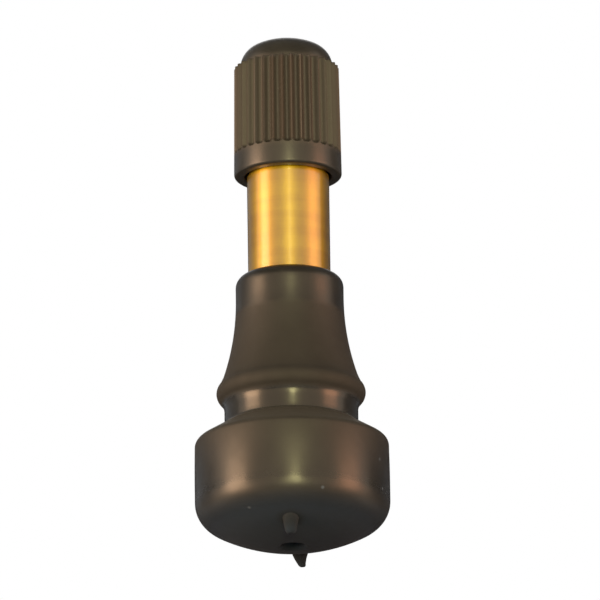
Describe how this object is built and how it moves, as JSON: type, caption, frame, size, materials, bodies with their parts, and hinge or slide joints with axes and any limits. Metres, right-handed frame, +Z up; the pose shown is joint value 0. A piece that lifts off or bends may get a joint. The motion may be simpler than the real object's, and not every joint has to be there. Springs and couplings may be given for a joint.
{
  "type": "tyre valve",
  "caption": "Snap-in tyre valve: a rubber body with a snap bead round a brass stem, a sprung core opened by its pin, and a ribbed screw-on dust cap.",
  "frame": {"origin": "on the valve's axis, halfway up the groove that grips the rim", "axes": "+Z up the stem towards the mouth and the cap; -Y is the side with the longer moulding nib, which faces the camera"},
  "size_m": [0.0194, 0.0194, 0.0531],
  "materials": {
    "body_rubber": "satin moulded black-brown rubber",
    "stem_brass": "smooth turned yellow brass",
    "cap_plastic": "matt black-brown moulded plastic",
    "seal_rubber": "matt black sealing rubber",
    "core_brass": "turned brass",
    "packing_polymer": "off-white packing polymer",
    "core_steel": "bright drawn steel wire"
  },
  "bodies": {
    "valve": {"rubber_body": "body_rubber", "brass_stem": "stem_brass", "core_plug": "core_brass", "core_barrel": "core_brass", "barrel_packing": "packing_polymer", "core_spring": "core_steel"},
    "plunger": {"core_pin": "core_steel", "plunger_cup": "core_brass", "plunger_seal": "seal_rubber"},
    "cap_washer": {"cap_washer": "seal_rubber"},
    "cap": {"dust_cap": "cap_plastic"}
  },
  "joints": [
    {"name": "pin_press", "type": "slide", "parent": "valve", "child": "plunger", "axis": [0, 0, -1], "range_m": [0, 0.0012], "stiffness_N_per_m": 20, "springref_m": -0.0005, "deforming": ["core_spring"]},
    {"name": "cap_lift", "type": "slide", "parent": "valve", "child": "cap_washer", "axis": [0, 0, 1], "range_m": [0, 0.0127]},
    {"name": "cap_turn", "type": "hinge", "parent": "cap_washer", "child": "cap", "pos_m": [0, 0, 0], "axis": [0, 0, 1], "range_deg": [0, 5763]}
  ],
  "couplings": [
    {"joint": "cap_turn", "follows": "cap_lift", "rad_per_m": 7915.8}
  ]
}
